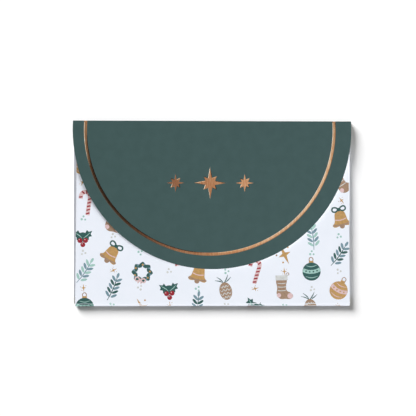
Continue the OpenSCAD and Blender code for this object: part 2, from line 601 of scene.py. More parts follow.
@dataclass(frozen=True)
class Finishes:
    """Every material of the holder, each made once."""

    white_print: bpy.types.Material
    green_print: bpy.types.Material
    inside: bpy.types.Material
    core: bpy.types.Material
    carrier_board: bpy.types.Material
    foil: bpy.types.Material
    glue: bpy.types.Material
    inks: dict[Ink, bpy.types.Material]

    @classmethod
    def make(cls) -> Finishes:
        """Make the materials.

        Returns:
            All the finishes.
        """
        # Coated white card: a clean, cool white with hardly any mottle.
        white = PaperFinish("coated_white_card", "#eaeff8", "#eef2fb", fibre_share=0.4)
        # Card flooded with green ink: deep and matt, with a slight sheen and the card's grain.
        green = PaperFinish(
            "green_flood_print", "#324d4b", "#375250", shine=0.32, cloud=4.0, relief=0.006
        )
        # The uncoated inside: a duller, warmer white.
        inside = PaperFinish("uncoated_card_inside", "#f1f1ee", "#f4f4f1", roughness=0.8, shine=0.15)
        # The cut edge: raw, greyish fibres.
        core = PaperFinish(
            "cut_card_edge", "#e2dfd6", "#efece4", roughness=0.85, shine=0.1, fibre=0.2
        )
        # Plain board: cream, with coarse fibres.
        board = PaperFinish(
            "plain_carrier_board", "#efede5", "#f3f1ea", roughness=0.78, shine=0.15, fibre=0.8
        )
        # Copper foil: a bright, warm mirror of the room, with darker streaks.
        foil = FoilFinish("hot_stamped_copper_foil", "#eeb98f", "#dd9f72")
        # Adhesive: a clear gloss on the card under it.
        glue = GlueFinish("clear_adhesive", "#fbfaf4")
        # Inks: matt and flat, each a little deeper in patches.
        inks = {ink: InkFinish(f"{ink.name.lower()}_offset_ink", ink.value) for ink in Ink}
        return cls(
            white_print=white.material(),
            green_print=green.material(),
            inside=inside.material(),
            core=core.material(),
            carrier_board=board.material(),
            foil=foil.material(),
            glue=glue.material(),
            inks={ink: finish.material() for ink, finish in inks.items()},
        )


def box_mm(node: str) -> tuple[Vector, Vector]:
    """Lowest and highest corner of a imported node, in millimetres."""
    low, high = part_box(node)
    return low / MM, high / MM


@dataclass(frozen=True)
class Plan:
    """Sizes and places of the folded sheet in millimetres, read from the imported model.

    The last four, which no box tells, are given: how deep the level ends of the top fold's strips
    are, how far each side of the front panel draws in up to its mouth, and the thumb notch.
    """

    board: float
    side_x: float
    flat_x: float
    flat_low: float
    tab_low: float
    tab_high: float
    tab_x: float
    tab_top: float
    front_left: float
    front_right: float
    front_top: float
    mouth_y: float
    top_y: float
    flap_low: float
    flap_top: float
    flap_r: float
    arc_y: float
    spine_x: float
    strip: float = 0.65
    front_taper: float = 0.6
    notch_r: float = 10.0
    notch_depth: float = 7.0

    @classmethod
    def read(cls) -> Plan:
        """Read the plan from the boxes of the nodes.

        Returns:
            The plan.
        """
        back, front = box_mm("back_panel"), box_mm("front_panel")
        fold, tab = box_mm("right_side_fold"), box_mm("right_side_tab")
        flap, spine = box_mm("flap"), box_mm("top_spine")
        flap_r = (flap[1].x - flap[0].x) / 2
        return cls(
            board=back[1].z - back[0].z,
            side_x=back[1].x,
            flat_x=fold[0].x,
            flat_low=back[0].y,
            tab_low=fold[0].y,
            tab_high=fold[1].y,
            tab_x=tab[0].x,
            tab_top=tab[1].z,
            front_left=front[0].x,
            front_right=front[1].x,
            front_top=front[1].z,
            mouth_y=front[1].y,
            top_y=spine[1].y,
            flap_low=flap[0].z,
            flap_top=flap[1].z,
            flap_r=flap_r,
            arc_y=flap[0].y + flap_r,
            spine_x=spine[1].x,
        )

    @property
    def bottom_r(self) -> float:
        """Outer radius of the bottom fold."""
        return self.front_top / 2

    @property
    def side_r(self) -> float:
        """Outer radius of the side folds."""
        return self.tab_top / 2

    @property
    def bottom_end(self) -> float:
        """Where the bottom fold ends on the flat sheet, below the front panel."""
        return self.flat_low - math.pi * self.bottom_r

    @property
    def side_end(self) -> float:
        """Where the side folds end on the flat sheet, out from its middle."""
        return self.flat_x + math.pi * self.side_r

    @property
    def strip_y(self) -> float:
        """Where the panels end and the strips of the top fold begin."""
        return self.top_y - self.strip

    @property
    def flap_half(self) -> float:
        """Half width of the flap where the strip of its crease begins."""
        return math.sqrt(self.flap_r**2 - (self.strip_y - self.arc_y) ** 2)

    @property
    def front_x(self) -> float:
        """Middle of the front panel."""
        return (self.front_left + self.front_right) / 2

    @property
    def notch_y(self) -> float:
        """Middle of the thumb notch's circle."""
        return self.mouth_y + self.notch_r - self.notch_depth

    def on_pocket(self, place: Vector) -> Vector:
        """Fold a place of the flat sheet round the pocket.

        Args:
            place: X across the sheet, Y up the front panel, going on below it round the bottom
                fold and over the back, and Z off the paper.

        Returns:
            The same place on the folded pocket.
        """
        x, y, lift = place
        past = self.flat_low - y
        arc = math.pi * self.bottom_r
        if past <= 0:
            return Vector((x, y, self.front_top + lift))
        if past < arc:
            turn, reach = past / self.bottom_r, self.bottom_r + lift
            return Vector((x, self.flat_low - reach * math.sin(turn), self.bottom_r + reach * math.cos(turn)))
        beyond = abs(x) - self.flat_x
        if beyond <= 0:
            return Vector((x, self.flat_low + past - arc, -lift))
        turn, reach = beyond / self.side_r, self.side_r + lift
        across = math.copysign(self.flat_x + reach * math.sin(turn), x)
        return Vector((across, self.flat_low + past - arc, self.side_r - reach * math.cos(turn)))


@dataclass
class PrintedSheet:
    """The white part of the die-cut sheet: back panel, folds, side tabs and front panel in one.

    It is folded from the back panel as by hand: the side edges are spun up into the side folds
    and drawn in to the tabs, and the lower edge is spun up and drawn up to the mouth.
    """

    plan: Plan
    finishes: Finishes
    tab_slant: float = 3.0
    punch_height: float = 1.2
    punch_corners: int = 96
    fold_steps: int = 14
    hold: float = 0.5

    def build(self) -> bpy.types.Object:
        """Fold the sheet, give it its thickness and punch the notch.

        Returns:
            The finished piece.
        """
        sheet = self._back()
        with editing(sheet):
            for side in (-1, 1):
                self._fold_side(side)
            self._fold_bottom()
            self._hold_flats()
        dress(sheet, self.finishes.white_print, self.finishes.inside, self.finishes.core)
        modify(
            sheet,
            "SOLIDIFY",
            thickness=self.plan.board,
            offset=-1,
            use_even_offset=True,
            material_offset=Side.INSIDE.value,
            material_offset_rim=Side.CUT.value,
        )
        carve(sheet, self._notch())
        finish_piece(sheet, "pocket")
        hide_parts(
            "back_panel",
            "bottom_fold",
            "front_panel",
            "left_side_fold",
            "right_side_fold",
            "left_side_tab",
            "right_side_tab",
        )
        return sheet

    def _back(self) -> bpy.types.Object:
        """Lay the back panel, with its print down, and cut away what the side folds take.

        Returns:
            The panel's object.
        """
        plan = self.plan
        sheet = flat_plane("printed_sheet", (-plan.side_x, plan.flat_low), (plan.side_x, plan.strip_y), 0)
        with editing(sheet):
            pick_all()
            bpy.ops.mesh.flip_normals()
            for x in (-plan.flat_x, plan.flat_x, plan.front_left):
                slice_at((x, 0, 0), (1, 0, 0))
            for y in (plan.tab_low, plan.tab_high):
                slice_at((0, y, 0), (0, 1, 0))
            pick(Domain.FACES, lambda p: abs(p.x) > plan.flat_x and plan.tab_low < p.y < plan.tab_high)
            bpy.ops.mesh.delete(type="FACE")
        return sheet

    def _fold_side(self, side: int) -> None:
        """Spin one side edge up into its fold and draw the tab in from it.

        Args:
            side: -1 for the left one and 1 for the right one.
        """
        plan = self.plan
        crease_x = side * plan.flat_x
        low, high = plan.tab_low - NEAR, plan.tab_high + NEAR
        pick(Domain.EDGES, lambda p: abs(p.x - crease_x) < NEAR and low < p.y < high)
        bpy.ops.mesh.spin(
            steps=self.fold_steps,
            angle=side * math.pi,
            center=(crease_x, 0, plan.side_r),
            axis=(0, 1, 0),
        )
        slide(x=-side * (plan.flat_x - plan.tab_x))
        length = plan.tab_high - plan.tab_low
        middle = (plan.tab_low + plan.tab_high) / 2
        grow((1, 1 - 2 * self.tab_slant / length, 1), (side * plan.tab_x, middle, plan.tab_top))

    def _fold_bottom(self) -> None:
        """Spin the lower edge up into the bottom fold and draw the front panel up from it."""
        plan = self.plan
        left = plan.front_left - NEAR
        pick(Domain.EDGES, lambda p: abs(p.y - plan.flat_low) < NEAR and p.x > left and p.z < NEAR)
        bpy.ops.mesh.spin(
            steps=self.fold_steps,
            angle=math.pi,
            center=(0, plan.flat_low, plan.bottom_r),
            axis=(1, 0, 0),
        )
        slide(y=plan.mouth_y - plan.flat_low)
        half = (plan.front_right - plan.front_left) / 2
        grow((1 - plan.front_taper / half, 1, 1), (plan.front_x, plan.mouth_y, plan.front_top))

    def _hold_flats(self) -> None:
        """Cut a narrow band beside each fold, so that smooth shading stays in the fold."""
        plan = self.plan
        slice_at((0, plan.flat_low + self.hold, 0), (0, 1, 0))
        for side in (-1, 1):
            slice_at((side * (plan.flat_x - self.hold), 0, 0), (1, 0, 0))

    def _notch(self) -> bpy.types.Object:
        """Make the punch of the thumb notch.

        Returns:
            The punch, which leaves a bare cut edge.
        """
        plan = self.plan
        bpy.ops.mesh.primitive_cylinder_add(
            vertices=self.punch_corners,
            radius=plan.notch_r,
            depth=self.punch_height,
            location=(plan.front_x, plan.notch_y, plan.front_top),
        )
        punch = freeze(bpy.context.object, "notch_punch")
        dress(punch, self.finishes.white_print, self.finishes.inside, self.finishes.core)
        with editing(punch):
            pick_all()
            paint(Side.CUT)
        return punch


@dataclass
class Drawing:
    """One motif of the print: flat shapes of ink, in passes that each lie a hair above the last.

    Shapes of one pass never overlap, because two films at one height would show through each
    other in specks.
    """

    inks: dict[Ink, bpy.types.Material]
    layer: float = 0.005
    round_steps: int = 5
    passes: int = 0
    shapes: list[bpy.types.Object] = field(default_factory=list)

    def _keep(self, shape: bpy.types.Object, ink: Ink) -> None:
        """Give a shape its ink and the height of its pass, and keep it.

        Args:
            shape: The shape.
            ink: Its ink.
        """
        dress(shape, self.inks[ink])
        shape.location.z = self.passes * self.layer
        self.shapes.append(shape)

    def over(self) -> None:
        """Draw what follows over what is drawn."""
        self.passes += 1

    def disc(
        self,
        centre: Point,
        radius: float,
        ink: Ink,
        stretch: float = 1,
        turn: float = 0,
        corners: int = 20,
    ) -> None:
        """Draw a filled circle or ellipse.

        Args:
            centre: Its middle.
            radius: Its radius across.
            ink: Its ink.
            stretch: Its length over its width.
            turn: How far it is turned, in degrees.
            corners: How many corners draw it.
        """
        bpy.ops.mesh.primitive_circle_add(
            vertices=corners, radius=radius, fill_type="NGON", location=(*centre, 0)
        )
        shape = bpy.context.object
        shape.scale.y = stretch
        shape.rotation_euler.z = math.radians(turn)
        self._keep(shape, ink)

    def _curve(self, points: Sequence[Point], smooth: bool, closed: bool) -> bpy.types.Object:
        """Lay a curve through points.

        Args:
            points: Its knots.
            smooth: Round between the knots, or straight.
            closed: Whether it comes back to its start.

        Returns:
            The curve's object.
        """
        curve = bpy.data.curves.new("ink_line", "CURVE")
        curve.resolution_u = self.round_steps if smooth else 1
        spline = curve.splines.new("BEZIER")
        spline.bezier_points.add(len(points) - 1)
        spline.use_cyclic_u = closed
        for knot, (x, y) in zip(spline.bezier_points, points):
            knot.co = (x, y, 0)
            knot.handle_left_type = knot.handle_right_type = "AUTO" if smooth else "VECTOR"
        shape = bpy.data.objects.new("ink_line", curve)
        bpy.context.collection.objects.link(shape)
        only(shape)
        return shape

    def patch(self, outline: Sequence[Point], ink: Ink, smooth: bool = True) -> None:
        """Draw a filled outline.

        Args:
            outline: Its knots in order.
            ink: Its ink.
            smooth: Round between the knots, or straight.
        """
        shape = self._curve(outline, smooth, True)
        shape.data.dimensions = "2D"
        shape.data.fill_mode = "BOTH"
        bpy.ops.object.convert(target="MESH")
        self._keep(bpy.context.object, ink)

    def stroke(
        self,
        path: Sequence[Point],
        width: float,
        ink: Ink,
        smooth: bool = True,
        closed: bool = False,
        ends: float = 1,
    ) -> None:
        """Draw a stroke of the pen.

        Args:
            path: Its knots in order.
            width: Its width.
            ink: Its ink.
            smooth: Round between the knots, or straight.
            closed: Whether it comes back to its start.
            ends: Width of its two ends, as a share of its width.
        """
        shape = self._curve(path, smooth, closed)
        # The curve is drawn out to a ribbon on edge, and its tilt lays the ribbon flat.
        shape.data.dimensions = "3D"
        shape.data.twist_mode = "Z_UP"
        shape.data.extrude = width / 2
        knots = shape.data.splines[0].bezier_points
        for knot in knots:
            knot.tilt = math.pi / 2
        knots[0].radius = knots[-1].radius = ends
        bpy.ops.object.convert(target="MESH")
        self._keep(bpy.context.object, ink)

    def done(self, name: str) -> bpy.types.Object:
        """Join the shapes into one motif that looks up.

        Args:
            name: What to call it.

        Returns:
            The motif.
        """
        motif = join(self.shapes, name)
        with editing(motif):
            face_up()
        return motif


def mirrored(points: Sequence[Point]) -> list[Point]:
    """An outline that is closed by the mirror image of its right half, given from top to bottom."""
    return [*points, *((-x, y) for x, y in reversed(points) if abs(x) > NEAR)]


def turned(points: Sequence[Point], degrees: float, centre: Point = (0, 0)) -> list[Point]:
    """Turn points about the origin and move them by a centre.

    Args:
        points: The points.
        degrees: How far to turn them, anticlockwise.
        centre: Where the origin then goes.

    Returns:
        The moved points.
    """
    c, s = math.cos(math.radians(degrees)), math.sin(math.radians(degrees))
    return [(centre[0] + x * c - y * s, centre[1] + x * s + y * c) for x, y in points]


@dataclass
class Motifs:
    """The motifs of the winter print, each drawn once about its own middle.

    Their places are millimetres on a motif some 7 mm high, before the print enlarges them.
    """

    inks: dict[Ink, bpy.types.Material]

    def bauble(self, name: str, ball: Ink, band: Ink) -> bpy.types.Object:
        """A round tree bauble with a cap, a loop and a dotted band.

        Args:
            name: What to call it.
            ball: Ink of the ball.
            band: Ink of the band.

        Returns:
            The motif.
        """
        art = Drawing(self.inks)
        turns = [math.tau * i / 8 for i in range(8)]
        loop = [(0.55 * math.sin(turn), 3.35 + 0.6 * math.cos(turn)) for turn in turns]
        art.stroke(loop, 0.24, Ink.TAUPE, closed=True)
        art.over()
        art.patch([(-0.7, 2.2), (0.7, 2.2), (0.6, 3.0), (-0.6, 3.0)], Ink.GOLD, smooth=False)
        art.over()
        art.disc((0, 0), 2.55, ball, corners=28)
        art.over()
        art.stroke([(-2.4, 0.5), (-1.2, 0.05), (0, -0.08), (1.2, 0.05), (2.4, 0.5)], 1.05, band)
        art.stroke([(-1.7, -1.35), (0, -1.75), (1.7, -1.35)], 0.24, band, ends=0.4)
        art.stroke([(-1.5, 1.7), (0, 1.35), (1.5, 1.7)], 0.24, band, ends=0.4)
        art.over()
        for x, y in ((-1.55, 0.18), (-0.52, -0.04), (0.52, -0.04), (1.55, 0.18)):
            art.disc((x, y), 0.24, ball, corners=8)
        return art.done(name)

    def holly(self) -> bpy.types.Object:
        """Two toothed holly leaves and three berries.

        Returns:
            The motif.
        """
        art = Drawing(self.inks)
        upper = [(0, 3.4), (0.4, 2.5), (1.1, 2.4), (0.75, 1.6), (1.35, 1.1)]
        leaf = mirrored([*upper, (0.8, 0.4), (1.15, -0.3), (0.3, -0.75), (0, -1)])
        stem = (0, -0.5)
        for turn in (52, -52):
            art.patch(turned(leaf, turn, stem), Ink.FOREST, smooth=False)
            art.over()
        for turn in (52, -52):
            art.stroke(turned([(0, 0.25), (0.1, 1.4), (0, 2.7)], turn, stem), 0.22, Ink.MINT, ends=0.4)
        art.over()
        berries = ((-0.78, -1.05), (0.78, -1.05), (0, -2.2))
        for berry in berries:
            art.disc(berry, 0.69, Ink.BERRY, corners=14)
        art.over()
        for x, y in berries:
            art.disc((x - 0.2, y + 0.25), 0.16, Ink.BLUSH, corners=6)
        return art.done("holly")

    def bell(self) -> bpy.types.Object:
        """A hand bell with a bow.

        Returns:
            The motif.
        """
        art = Drawing(self.inks)
        art.disc((0, -2.35), 0.72, Ink.TAUPE, corners=14)
        art.over()
        right = [(0.55, 2.1), (1.3, 1.5), (1.65, 0.2), (1.95, -1.1), (2.6, -1.95), (0, -2.15)]
        art.patch(mirrored(right), Ink.GOLD)
        art.over()
        art.stroke([(-2.5, -1.8), (0, -2.05), (2.5, -1.8)], 0.5, Ink.TAUPE)
        art.stroke([(-1.6, -0.35), (0, -0.65), (1.6, -0.35)], 0.26, Ink.BLUSH)
        for side in (-1, 1):
            bow = [(side * 0.33, 2.4), (side * 1.0, 3.1), (side * 1.8, 2.9), (side * 1.65, 2.0)]
            art.stroke(bow, 0.42, Ink.FOREST, closed=True)
        art.over()
        art.disc((0, 2.35), 0.5, Ink.FOREST, corners=12)
        return art.done("bell")

    def cane(self) -> bpy.types.Object:
        """A striped sugar cane with a hook.

        Returns:
            The motif.
        """
        art = Drawing(self.inks)
        middle = (0, 1.7)
        hook = [turned([(1.25, 0)], turn, middle)[0] for turn in range(0, 181, 30)]
        art.stroke([(1.25, -3.4), (1.25, -1.7), (1.25, 0), *hook, (-1.25, 0.9)], 1.15, Ink.BLUSH)
        art.over()
        stripes = [[(0.78, y - 0.2), (1.72, y + 0.22)] for y in (-2.9, -1.9, -0.9, 0.1, 1.1)]
        stripes += [turned([(0.78, -0.15), (1.74, 0.2)], turn, middle) for turn in (35, 80, 125)]
        for stripe in (*stripes, [(-1.72, 1.28), (-0.78, 1.5)]):
            art.stroke(stripe, 0.4, Ink.BERRY, smooth=False)
        return art.done("sugar_cane")

    def sprig(self, name: str, leaf: Ink, tip: Ink) -> bpy.types.Object:
        """A sprig with paired leaves.

        Args:
            name: What to call it.
            leaf: Ink of the stem and of every other pair of leaves.
            tip: Ink of the other leaves.

        Returns:
            The motif.
        """
        art = Drawing(self.inks)
        art.stroke([(-0.35, -3.7), (0, -1.4), (0.1, 1), (0, 3)], 0.26, leaf, ends=0.6)
        art.over()
        for row in range(5):
            ink = leaf if row % 2 else tip
            for side in (-1, 1):
                place = (side * (0.95 - 0.05 * row), 1.15 * row - 1.98)
                art.disc(place, 0.36, ink, stretch=2.6, turn=-side * 48, corners=12)
        art.disc((0, 3.75), 0.36, tip, stretch=2.2, corners=12)
        return art.done(name)

    def sparkle(self, name: str, reach: float) -> bpy.types.Object:
        """A four-pointed glint with three specks.

        Args:
            name: What to call it.
            reach: Length of its upright points.

        Returns:
            The motif.
        """
        art = Drawing(self.inks)
        waist = 0.15 * reach
        points = [(0, reach), (waist, waist), (0.62 * reach, 0), (waist, -waist)]
        art.patch([*points, *((-x, -y) for x, y in points)], Ink.GOLD, smooth=False)
        for turn, ink in ((40, Ink.GOLD), (160, Ink.TAUPE), (235, Ink.GOLD)):
            art.disc(turned([(0.75 * reach, 0)], turn)[0], 0.09 * reach, ink, corners=8)
        return art.done(name)

    def stocking(self) -> bpy.types.Object:
        """A hanging stocking with a cuff.

        Returns:
            The motif.
        """
        art = Drawing(self.inks)
        leg = [(-1.25, 2.6), (-1.3, 0), (-1.45, -1.7), (-0.6, -2.9), (1.0, -3.0), (2.5, -3.0)]
        art.patch([*leg, (3.1, -2.2), (2.4, -1.3), (1.4, -0.7), (1.2, 0.6), (1.25, 2.6)], Ink.TAUPE)
        art.stroke([(1.5, 3.4), (2.1, 4.0), (1.5, 4.2), (1.2, 3.4)], 0.2, Ink.TAUPE)
        art.over()
        art.disc((2.25, -2.2), 0.78, Ink.BLUSH, corners=14)
        art.disc((-0.85, -1.95), 0.62, Ink.BLUSH, corners=12)
        for y in (1.4, 0.4, -0.6):
            art.stroke([(-1.15, y), (0, y - 0.12), (1.15, y)], 0.22, Ink.PEARL)
        art.patch([(-1.65, 2.2), (1.65, 2.2), (1.7, 3.6), (-1.7, 3.6)], Ink.PEARL, smooth=False)
        return art.done("stocking")

    def cone(self) -> bpy.types.Object:
        """A pine cone under two tufts of needles.

        Returns:
            The motif.
        """
        art = Drawing(self.inks)
        for turn in (-62, -38, 38, 62):
            needle = turned([(0, 0), (0.15, 1.3), (0, 2.6)], turn, (0, 1.8))
            art.stroke(needle, 0.3, Ink.FOREST, ends=0.3)
        art.over()
        art.disc((0, -0.5), 1.75, Ink.TAUPE, stretch=1.42, corners=24)
        art.over()
        for row, half in enumerate((1.15, 1.5, 1.5, 1.15)):
            scales = [(half * (i / 3 - 1), 1.05 - row - 0.5 * (i % 2)) for i in range(7)]
            art.stroke(scales, 0.2, Ink.PEARL, ends=0.5)
        return art.done("pine_cone")

    def wreath(self) -> bpy.types.Object:
        """A wreath of leaves with a bow.

        Returns:
            The motif.
        """
        art = Drawing(self.inks)
        for ink, first, tilt in ((Ink.SLATE, 0, -42), (Ink.FOREST, 22.5, 38)):
            for i in range(8):
                turn = first + 45 * i
                leaf = turned([(2.1, 0)], turn)[0]
                art.disc(leaf, 0.5, ink, stretch=2.2, turn=turn + tilt, corners=10)
            art.over()
        for turn in (20, 100, 160, 215, 330):
            art.disc(turned([(2.15, 0)], turn)[0], 0.28, Ink.GOLD, corners=8)
        art.stroke([(-0.5, -3.2), (0, -2.3), (0.5, -3.2)], 0.34, Ink.BLUSH, smooth=False)
        art.over()
        for side in (-1, 1):
            bow = [(side * 0.3, -2.25), (side * 0.8, -1.65), (side * 1.4, -1.9), (side * 1.25, -2.6)]
            art.stroke(bow, 0.36, Ink.BLUSH, closed=True)
        art.over()
        art.disc((0, -2.25), 0.42, Ink.BLUSH, corners=10)
        return art.done("wreath")

    def specks(self, name: str, ink: Ink) -> bpy.types.Object:
        """Three specks of one ink that fill a gap.

        Args:
            name: What to call them.
            ink: Their ink.

        Returns:
            The motif.
        """
        art = Drawing(self.inks)
        for x, y, radius in ((-0.5, -0.2, 0.34), (0.45, -0.35, 0.28), (0.05, 0.55, 0.3)):
            art.disc((x, y), radius, ink, corners=8)
        return art.done(name)


@dataclass
class WinterPrint:
    """The print of the white part: tossed motifs in a half-drop repeat, as thin films of ink.

    The films are laid out on the flat sheet, trimmed to it and folded round the pocket with it.
    Sizes are in millimetres. Each place draws a turn of up to tilt degrees and a nudge, and the
    motifs follow each other by steps that keep like ones apart.
    """

    plan: Plan
    finishes: Finishes
    column: float = 11.7
    row: float = 14.4
    shift: Point = (5.85, -2.2)
    lift: float = 0.01
    film: float = 0.003
    notch_clear: float = 16.0
    enlarge: float = 1.47
    tilt: float = 34
    nudge: Point = (0.7, 0.6)
    column_step: int = 8
    row_step: int = 2
    filler_rise: float = 0.4
    filler_tilt: int = 3
    fold_cuts: int = 8
    seed: int = 12
    templates: list[bpy.types.Object] = field(default_factory=list)
    fillers: list[bpy.types.Object] = field(default_factory=list)

    def draw(self) -> None:
        """Draw each motif once."""
        art = Motifs(self.finishes.inks)
        self.templates = [
            art.bauble("green_bauble", Ink.FOREST, Ink.MINT),
            art.bell(),
            art.sprig("slate_sprig", Ink.SLATE, Ink.MINT),
            art.stocking(),
            art.holly(),
            art.sparkle("glint", 3.0),
            art.cane(),
            art.wreath(),
            art.bauble("gold_bauble", Ink.GOLD, Ink.BLUSH),
            art.cone(),
            art.sprig("green_sprig", Ink.FOREST, Ink.SLATE),
        ]
        self.fillers = [
            art.specks("pearl_specks", Ink.PEARL),
            art.sparkle("small_glint", 1.15),
            art.specks("mint_specks", Ink.MINT),
        ]

    def _places(self, low: float, high: float) -> Iterator[tuple[int, int, float, float]]:
        """Go over the half-drop repeat.

        Args:
            low: Lowest Y on the flat sheet.
            high: Highest Y on the flat sheet.

        Returns:
            Each place's column, row, X and Y.
        """
        columns = math.ceil(self.plan.side_end / self.column) + 1
        first = math.floor((low - self.shift[1]) / self.row) - 1
        last = math.ceil((high - self.shift[1]) / self.row) + 1
        for c in range(-columns, columns + 1):
            drop = self.row / 2 if c % 2 else 0
            for r in range(first, last + 1):
                yield c, r, self.shift[0] + c * self.column, self.shift[1] + drop + r * self.row

    def _stamp(self, template: bpy.types.Object, x: float, y: float, degrees: float) -> bpy.types.Object:
        """Put a copy of a motif on the flat sheet.

        Args:
            template: The motif.
            x: Its place across.
            y: Its place up the sheet.
            degrees: How far it is turned.

        Returns:
            The copy.
        """
        copy = bpy.data.objects.new(template.name, template.data.copy())
        bpy.context.collection.objects.link(copy)
        turn = Matrix.Rotation(math.radians(degrees), 4, "Z")
        scale = Matrix.Diagonal((self.enlarge, self.enlarge, 1, 1))
        copy.matrix_world = Matrix.Translation((x, y, self.lift)) @ turn @ scale
        return copy

    def _lay(self, name: str, low: float, high: float) -> bpy.types.Object:
        """Lay the repeat over a stretch of the flat sheet.

        Args:
            name: What to call the print.
            low: Lowest Y on the flat sheet.
            high: Highest Y on the flat sheet.

        Returns:
            The print, still flat.
        """
        chance = random.Random(self.seed)
        notch = Vector((self.plan.front_x, self.plan.notch_y))
        most_x, most_y = self.nudge
        copies = []
        for c, r, x, y in self._places(low, high):
            turn = chance.uniform(-self.tilt, self.tilt)
            nudge_x = chance.uniform(-most_x, most_x)
            nudge_y = chance.uniform(-most_y, most_y)
            if (Vector((x, y)) - notch).length < self.notch_clear:
                continue
            kind = self.column_step * c + self.row_step * (r + 1)
            template = self.templates[kind % len(self.templates)]
            copies.append(self._stamp(template, x + nudge_x, y + nudge_y, turn))
            filler = self.fillers[(c + self.row_step * r) % len(self.fillers)]
            between = y + self.row / 2 + self.filler_rise + nudge_x / 2
            copies.append(self._stamp(filler, x + nudge_y, between, self.filler_tilt * turn))
        return join(copies, name)

    def _wrap(self, ink: bpy.types.Object) -> bpy.types.Object:
        """Give the flat print its thickness, fold it round the pocket and finish it.

        Args:
            ink: The trimmed flat print.

        Returns:
            The finished piece.
        """
        modify(ink, "SOLIDIFY", thickness=self.film, offset=-1)
        for corner in ink.data.vertices:
            corner.co = self.plan.on_pocket(corner.co)
        finish_piece(ink, "pocket")
        return ink

    def front(self) -> bpy.types.Object:
        """Print the front panel and the bottom fold.

        Returns:
            The finished piece.
        """
        plan = self.plan
        height = plan.mouth_y - plan.flat_low
        arc = math.pi * plan.bottom_r
        ink = self._lay("front_print", plan.bottom_end, plan.mouth_y)
        with editing(ink):
            slice_at((0, plan.mouth_y, 0), (0, 1, 0), clear=True)
            slice_at((0, plan.bottom_end, 0), (0, -1, 0), clear=True)
            for side, edge in ((-1, plan.front_left), (1, plan.front_right)):
                slice_at((edge, 0, 0), (side, 0, 0), clear=True)
                slice_at((edge, plan.flat_low, 0), (side * height, plan.front_taper, 0), clear=True)
            for i in range(self.fold_cuts + 1):
                slice_at((0, plan.flat_low - arc * i / self.fold_cuts, 0), (0, 1, 0))
        return self._wrap(ink)

    def back(self) -> bpy.types.Object:
        """Print the back panel and the side folds.

        Returns:
            The finished piece.
        """
        plan = self.plan
        # The back goes on below the bottom fold on the flat sheet, so its heights count down.
        end = plan.bottom_end
        fold_top = end - (plan.tab_low - plan.flat_low)
        fold_foot = end - (plan.tab_high - plan.flat_low)
        foot = end - (plan.strip_y - plan.flat_low)
        ink = self._lay("back_print", foot, end)
        with editing(ink):
            slice_at((0, end, 0), (0, 1, 0), clear=True)
            slice_at((0, foot, 0), (0, -1, 0), clear=True)
            for y in (fold_top, fold_foot):
                slice_at((0, y, 0), (0, 1, 0))
            for side in (-1, 1):
                slice_at((side * plan.side_end, 0, 0), (side, 0, 0), clear=True)
                for i in range(self.fold_cuts):
                    x = plan.flat_x + (plan.side_end - plan.flat_x) * i / self.fold_cuts
                    slice_at((side * x, 0, 0), (1, 0, 0))
            pick(Domain.FACES, lambda p: abs(p.x) > plan.flat_x and not fold_foot < p.y < fold_top)
            bpy.ops.mesh.delete(type="FACE")
        return self._wrap(ink)

    def clean_up(self) -> None:
        """Throw the loose motifs away."""
        for template in (*self.templates, *self.fillers):
            bpy.data.objects.remove(template)


@dataclass(frozen=True)
class FoilLine:
    """The circle that the foil line follows, and its width, in millimetres."""

    x: float
    radius: float
    width: float = 1.25

    @classmethod
    def read(cls) -> FoilLine:
        """Read it from the box of its node.

        Returns:
            The line.
        """
        low, high = box_mm("foil_line")
        return cls(x=(low.x + high.x) / 2, radius=(high.x - low.x - cls.width) / 2)


@dataclass(frozen=True)
class Star:
    """A foil star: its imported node, its middle and the length of its long points, in millimetres."""

    node: str
    centre: Point
    reach: float

    @classmethod
    def read(cls, node: str) -> Star:
        """Read it from the box of its node.

        Args:
            node: The node's name.

        Returns:
            The star.
        """
        low, high = box_mm(node)
        return cls(node, ((low.x + high.x) / 2, (low.y + high.y) / 2), (high.y - low.y) / 2)


